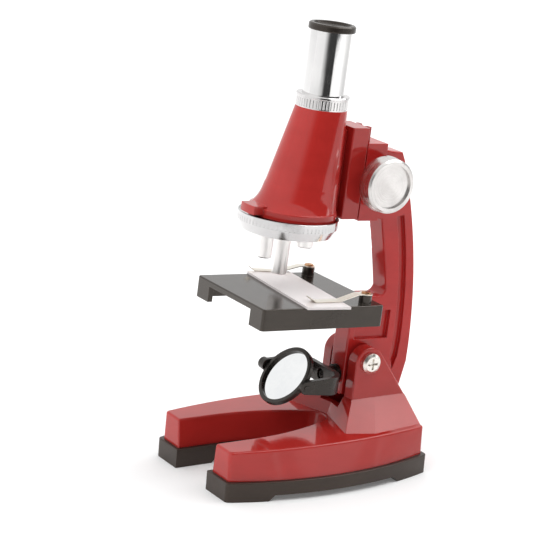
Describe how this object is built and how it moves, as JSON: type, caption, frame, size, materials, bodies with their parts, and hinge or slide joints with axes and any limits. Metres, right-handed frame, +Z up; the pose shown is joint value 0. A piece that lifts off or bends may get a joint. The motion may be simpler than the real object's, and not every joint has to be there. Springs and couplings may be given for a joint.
{
  "type": "toy microscope",
  "caption": "Tilting toy microscope with a horseshoe foot, curved arm, clipped stage, rack-focused tube, rotating objective turret and swivelling mirror.",
  "frame": {"origin": "on the ground under the middle of the whole object's box", "axes": "+Z up, the legs of the foot point to -Y, the arm stands at +Y, +X is the user's right looking from the front"},
  "size_m": [0.089, 0.1223, 0.2267],
  "materials": {
    "red_plastic": "glossy moulded red plastic",
    "black_plastic": "satin moulded black plastic",
    "white_plastic": "natural white moulded plastic",
    "chrome": "bright chrome plate",
    "screw_steel": "zinc-plated steel",
    "spring_steel": "bright spring steel",
    "slide_glass": "clear ground-edge glass",
    "lens_glass": "clear lens glass",
    "mirror": "silvered mirror glass"
  },
  "bodies": {
    "base": {"base_plate": "black_plastic", "base_shell": "red_plastic", "base_screws": "screw_steel", "hinge_bolt": "screw_steel", "hinge_nut": "screw_steel", "hinge_washers": "black_plastic"},
    "arm": {"arm": "red_plastic", "stage_plate": "black_plastic", "stage_screws": "screw_steel", "clip_rivets": "screw_steel", "fork_screw": "screw_steel", "fork_washer": "black_plastic"},
    "clip_right": {"stage_clip_right": "spring_steel"},
    "clip_left": {"stage_clip_left": "spring_steel"},
    "slide": {"specimen_slide": "slide_glass"},
    "tube": {"body_tube": "red_plastic", "collar_ring": "chrome", "rack_carriage": "red_plastic", "carriage_screws": "screw_steel", "focus_rack": "white_plastic", "turret_screw": "screw_steel", "turret_spring_washer": "spring_steel", "detent_ball": "screw_steel", "detent_spring": "spring_steel"},
    "eyepiece": {"draw_tube": "chrome", "eyepiece_cap": "black_plastic", "eye_lens": "lens_glass", "lens_spacer": "black_plastic", "field_lens": "lens_glass", "field_lens_ring": "black_plastic"},
    "turret": {"turret_disc": "chrome", "objective_long": "chrome", "objective_short": "chrome", "objective_medium": "chrome", "lens_long": "lens_glass", "lens_short": "lens_glass", "lens_medium": "lens_glass", "objective_lens_rings": "black_plastic"},
    "focus_shaft": {"pinion_shaft": "screw_steel", "focus_pinion": "white_plastic", "focus_knob_right": "chrome", "focus_knob_left": "chrome", "focus_washers": "black_plastic"},
    "fork": {"mirror_fork": "black_plastic"},
    "mirror": {"mirror_ring": "black_plastic", "mirror_glass": "mirror"}
  },
  "joints": [
    {"name": "tilt", "type": "hinge", "parent": "base", "child": "arm", "pos_m": [0, 0.0309, 0.0552], "axis": [-1, 0, 0], "range_deg": [-3.25, 42]},
    {"name": "clip_right_swing", "type": "hinge", "parent": "arm", "child": "clip_right", "pos_m": [0.02575, 0.01621, 0.0963], "axis": [0, 0.0567, 0.9984], "range_deg": [-8, 55]},
    {"name": "clip_left_swing", "type": "hinge", "parent": "arm", "child": "clip_left", "pos_m": [-0.02575, 0.01621, 0.0963], "axis": [0, 0.0567, 0.9984], "range_deg": [-45, 20]},
    {"name": "slide_shift", "type": "slide", "parent": "arm", "child": "slide", "axis": [0.9966, -0.0818, 0.0046], "range_m": [-0.008, 0.008]},
    {"name": "focus_travel", "type": "slide", "parent": "arm", "child": "tube", "axis": [0, 0.0567, 0.9984], "range_m": [-0.004, 0.014]},
    {"name": "focus_turn", "type": "hinge", "parent": "arm", "child": "focus_shaft", "pos_m": [0, 0.02715, 0.14916], "axis": [1, 0, 0], "range_deg": [-180, 52]},
    {"name": "eyepiece_pull", "type": "slide", "parent": "tube", "child": "eyepiece", "axis": [0, 0.0567, 0.9984], "range_m": [0, 0.01]},
    {"name": "turret_turn", "type": "hinge", "parent": "tube", "child": "turret", "pos_m": [0, -0.01659, 0.12901], "axis": [0, 0.0567, 0.9984], "continuous": true},
    {"name": "fork_swivel", "type": "hinge", "parent": "arm", "child": "fork", "pos_m": [0, 0.01139, 0.04669], "axis": [0, 0.9984, -0.0567], "range_deg": [-25, 25]},
    {"name": "mirror_tilt", "type": "hinge", "parent": "fork", "child": "mirror", "pos_m": [0, -0.00958, 0.04788], "axis": [0.9998, -0.001, -0.0174], "range_deg": [-90, 60]}
  ],
  "couplings": [
    {"joint": "focus_turn", "follows": "focus_travel", "rad_per_m": -222.22}
  ]
}
